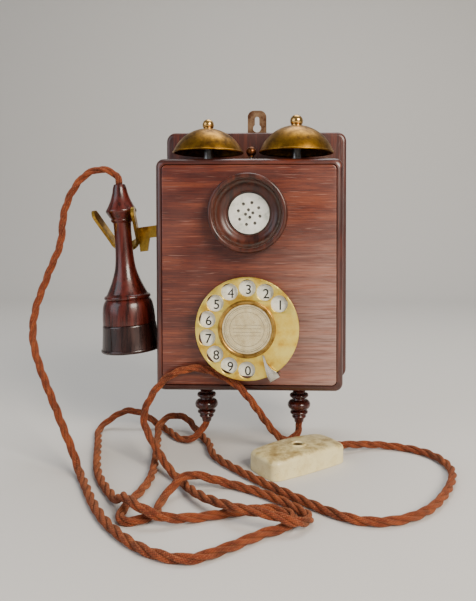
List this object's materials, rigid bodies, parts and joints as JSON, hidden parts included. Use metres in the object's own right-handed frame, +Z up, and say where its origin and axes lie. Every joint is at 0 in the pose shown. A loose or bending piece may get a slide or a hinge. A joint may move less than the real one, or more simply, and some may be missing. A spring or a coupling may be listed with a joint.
{
  "type": "wall telephone",
  "caption": "Wooden wall telephone with rotary dial, fixed mouthpiece, two bells on top, a turned receiver on a side hook, twisted cords and a connection block.",
  "frame": {"origin": "centre of the hanger plate's keyhole, on the wall plane behind the back board", "axes": "+Z up, +Y into the wall, the front faces -Y, +X to the right of someone facing the telephone"},
  "size_m": [0.3128, 0.2239, 0.273],
  "materials": {
    "mahogany_board": "aged shellac",
    "mahogany_frame": "aged shellac, dark worn edges",
    "mahogany_panel": "aged shellac, fine horizontal grain",
    "pine": "raw",
    "copper_plate": "dull, oxidised",
    "steel": "turned",
    "ebonised_wood": "turned and polished",
    "white_enamel": "fired enamel",
    "zinc": "dull zinc plating",
    "gear_brass": "machined",
    "dial_brass": "satin, worn",
    "nickel": "worn nickel plating",
    "card": "aged card",
    "clear_cover": "clear",
    "spring_steel": "blued",
    "black_fibre": "vulcanised fibre",
    "bell_brass": "aged, spun",
    "knob_brass": "polished, worn",
    "soft_iron": "blackened",
    "coil_winding": "silk-covered winding",
    "hook_brass": "worn",
    "receiver_wood": "turned and polished",
    "receiver_dark_wood": "turned and polished, dark",
    "finial_wood": "turned and polished",
    "tin_plate": "grey paint",
    "braided_cotton": "glazed cotton braid, twisted",
    "ivory_plastic": "aged, soiled"
  },
  "bodies": {
    "case": {"back_board": "mahogany_board", "hanger_plate": "copper_plate", "hanger_screws": "steel", "case_frame": "mahogany_frame", "front_panel": "mahogany_panel", "corner_blocks": "pine", "mouthpiece_cup": "ebonised_wood", "transmitter_grille": "white_enamel", "transmitter_capsule": "zinc", "transmitter_clamp": "gear_brass", "dial_case": "dial_brass", "dial_clamp_ring": "zinc", "number_plate": "white_enamel", "finger_stop": "nickel", "dial_axles": "steel", "governor_cup": "gear_brass", "pulse_contacts": "black_fibre", "bell_left": "bell_brass", "bell_right": "bell_brass", "bell_posts": "steel", "bell_knob_left": "knob_brass", "bell_knob_right": "knob_brass", "armature_pivot": "steel", "ringer_frame": "soft_iron", "ringer_coils": "coil_winding", "hook_pivot_pin": "steel", "hook_bracket": "zinc", "hook_contacts": "gear_brass", "finial_left": "finial_wood", "finial_right": "finial_wood", "terminal_strip": "black_fibre", "terminal_screws": "gear_brass", "induction_coil": "coil_winding", "capacitor": "tin_plate", "receiver_cord": "braided_cotton", "line_cord": "braided_cotton", "block_base": "black_fibre", "block_cover": "ivory_plastic", "block_screw": "knob_brass", "block_terminals": "gear_brass"},
    "dial": {"finger_wheel": "dial_brass", "dial_label": "card", "label_cover": "clear_cover", "label_bezel": "dial_brass", "dial_shaft": "steel", "dial_main_gear": "gear_brass", "return_spring": "spring_steel"},
    "pulse_wheel": {"pulse_wheel": "gear_brass"},
    "governor": {"governor": "gear_brass"},
    "hammer": {"hammer_ball": "knob_brass", "hammer_rod": "steel", "armature": "soft_iron"},
    "hook": {"hook_lever": "hook_brass"},
    "receiver": {"receiver_shell": "receiver_wood", "receiver_cap": "receiver_dark_wood", "receiver_capsule": "zinc", "receiver_diaphragm": "soft_iron", "receiver_cord_lead": "braided_cotton"}
  },
  "joints": [
    {"name": "dial_turn", "type": "hinge", "parent": "case", "child": "dial", "pos_m": [0, -0.084, -0.1592], "axis": [0, 1, 0], "range_deg": [0, 318], "stiffness_Nm_per_rad": 0.01},
    {"name": "pulse_turn", "type": "hinge", "parent": "case", "child": "pulse_wheel", "pos_m": [-0.01955, -0.07, -0.16631], "axis": [0, 1, 0], "range_deg": [-1062, 0]},
    {"name": "governor_turn", "type": "hinge", "parent": "case", "child": "governor", "pos_m": [-0.01035, -0.058, -0.17403], "axis": [0, 1, 0], "range_deg": [0, 3182]},
    {"name": "hammer_swing", "type": "hinge", "parent": "case", "child": "hammer", "pos_m": [-0.00088, -0.043, -0.0735], "axis": [0, 1, 0], "range_deg": [-2.3, 2.3], "stiffness_Nm_per_rad": 0.02},
    {"name": "receiver_lift", "type": "slide", "parent": "case", "child": "receiver", "axis": [0, -0.7071, 0.7071], "range_m": [0, 0.12]},
    {"name": "hook_rise", "type": "hinge", "parent": "case", "child": "hook", "pos_m": [-0.046, -0.033, -0.0833], "axis": [0, 1, 0], "range_deg": [0, 8]}
  ],
  "couplings": [
    {"joint": "pulse_turn", "follows": "dial_turn", "ratio": -3.3333},
    {"joint": "governor_turn", "follows": "dial_turn", "ratio": 10},
    {"joint": "hook_rise", "follows": "receiver_lift", "rad_per_m": 1.16}
  ]
}
